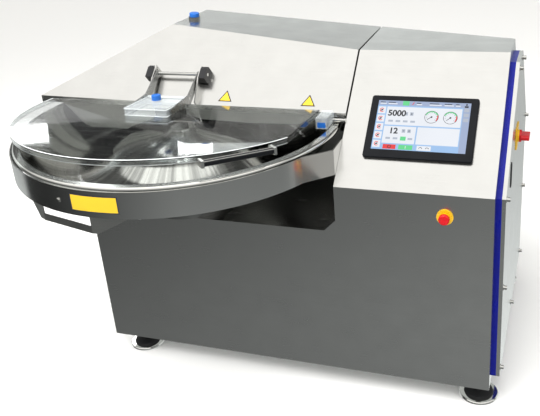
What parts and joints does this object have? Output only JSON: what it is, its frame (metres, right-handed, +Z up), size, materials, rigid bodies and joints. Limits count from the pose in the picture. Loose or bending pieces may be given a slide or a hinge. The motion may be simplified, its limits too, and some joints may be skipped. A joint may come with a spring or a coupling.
{
  "type": "bowl cutter",
  "caption": "Floor-standing bowl cutter for meat: a shallow round bowl turns under a hinged steel hood that covers sickle knives, beside a console with a leaning touch panel.",
  "frame": {"origin": "on the floor under the middle of the overall bounding box", "axes": "+X to the console's side (right), +Y to the rear, +Z up; the front panel faces -Y"},
  "size_m": [2.074, 1.6015, 1.4061],
  "materials": {
    "brushed_sheet": "brushed stainless sheet",
    "machined_steel": "machined stainless steel",
    "polished_steel": "polished stainless steel",
    "knife_steel": "ground blade steel",
    "black_rubber": "matt rubber",
    "blue_silicone": "satin silicone",
    "black_plastic": "matt plastic",
    "blue_plastic": "satin plastic",
    "yellow_plastic": "satin plastic",
    "red_plastic": "gloss plastic",
    "display_glass": "lit display behind glass",
    "clear_sheet": "clear polycarbonate"
  },
  "bodies": {
    "root": {"cabinet_shell": "brushed_sheet", "base_frame": "machined_steel", "foot_bases": "polished_steel", "foot_boots": "black_rubber", "foot_studs": "polished_steel", "side_gasket": "blue_silicone", "side_cover": "brushed_sheet", "side_screws": "polished_steel", "side_grip": "black_plastic", "rear_cover": "brushed_sheet", "rear_screws": "polished_steel", "isolator_plate": "yellow_plastic", "hmi_bezel": "black_plastic", "hmi_screen": "display_glass", "estop_ring": "yellow_plastic", "bowl_bearing": "machined_steel", "surround_band": "brushed_sheet", "surround_ribs": "brushed_sheet", "band_rivets": "polished_steel", "grab_handle": "brushed_sheet", "rear_tower": "brushed_sheet", "hinge_brackets": "machined_steel", "hinge_pins": "machined_steel", "knife_arm": "machined_steel", "sensor_rod": "polished_steel", "sensor_block": "clear_sheet", "sensor_insert": "blue_plastic", "supply_gland": "machined_steel"},
    "isolator": {"isolator_handle": "red_plastic"},
    "estop": {"estop_button": "red_plastic"},
    "bowl": {"bowl_shell": "polished_steel", "bowl_cap": "polished_steel", "bowl_spindle": "machined_steel"},
    "knife_set": {"knife_shaft": "machined_steel", "knives": "knife_steel", "knife_spacers": "machined_steel", "knife_nut": "machined_steel"},
    "hood": {"hood_shell": "brushed_sheet", "hood_lugs": "machined_steel", "hood_baffle": "brushed_sheet", "hood_port": "machined_steel", "lid_stands": "brushed_sheet", "stand_blocks": "black_plastic", "stand_screws": "polished_steel"},
    "port": {"port_cap": "blue_plastic"},
    "lid": {"lid_sheet": "clear_sheet", "hatch_frame": "clear_sheet", "lid_arms": "machined_steel", "lid_bar": "polished_steel", "lid_grip": "polished_steel", "lid_brackets": "polished_steel", "hatch_rod": "polished_steel"},
    "hatch": {"hatch_cover": "clear_sheet", "hatch_knob": "blue_plastic"}
  },
  "joints": [
    {"name": "bowl_spin", "type": "hinge", "parent": "root", "child": "bowl", "pos_m": [-0.30498, -0.13025, 0.905], "axis": [0, 0, 1], "continuous": true},
    {"name": "knife_spin", "type": "hinge", "parent": "root", "child": "knife_set", "pos_m": [-0.30498, 0.29975, 1.134], "axis": [1, 0, 0], "continuous": true},
    {"name": "hood_swing", "type": "hinge", "parent": "root", "child": "hood", "pos_m": [-0.126, 0.56375, 1.285], "axis": [-1, 0, 0], "range_deg": [0, 75]},
    {"name": "lid_swing", "type": "hinge", "parent": "hood", "child": "lid", "pos_m": [-0.30498, 0.02874, 1.22241], "axis": [-1, 0, 0], "range_deg": [0, 70]},
    {"name": "hatch_swing", "type": "hinge", "parent": "lid", "child": "hatch", "pos_m": [-0.38098, -0.0836, 1.15523], "axis": [-1, 0, 0], "range_deg": [0, 100]},
    {"name": "port_turn", "type": "hinge", "parent": "hood", "child": "port", "pos_m": [-0.446, 0.36175, 1.37558], "axis": [0.0889, 0, 0.996], "range_deg": [0, 90]},
    {"name": "isolator_turn", "type": "hinge", "parent": "root", "child": "isolator", "pos_m": [0.988, 0.14675, 0.976], "axis": [1, 0, 0], "range_deg": [0, 90]},
    {"name": "estop_press", "type": "slide", "parent": "root", "child": "estop", "axis": [0, 1, 0], "range_m": [0, 0.004], "stiffness_N_per_m": 800}
  ]
}
